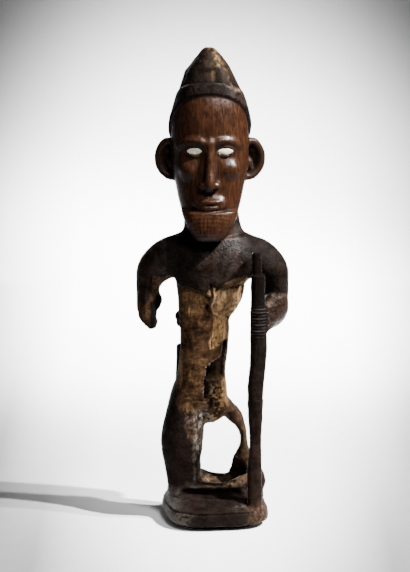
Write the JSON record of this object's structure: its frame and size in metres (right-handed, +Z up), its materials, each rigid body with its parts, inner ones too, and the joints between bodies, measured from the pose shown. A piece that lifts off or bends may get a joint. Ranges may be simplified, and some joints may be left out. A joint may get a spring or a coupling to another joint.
{
  "type": "carved standing figure",
  "caption": "Small carved wood figure of a bearded man in a pointed cap, holding a staff and standing on a domed base, one forearm and most of one leg lost.",
  "frame": {"origin": "bottom centre of the object's bounding box, on the surface the base stands on", "axes": "+Z up along the figure, the figure faces -Y, and +X is the figure's left, where the staff is"},
  "size_m": [0.0526, 0.0418, 0.165],
  "materials": {
    "dark_wood": "handled satin patina, raw and worm-eaten where the surface is lost",
    "white_inlay": "matt to satin cream white"
  },
  "bodies": {
    "root": {"carved_figure": "dark_wood", "right_eye_inlay": "white_inlay", "left_eye_inlay": "white_inlay"}
  },
  "joints": []
}
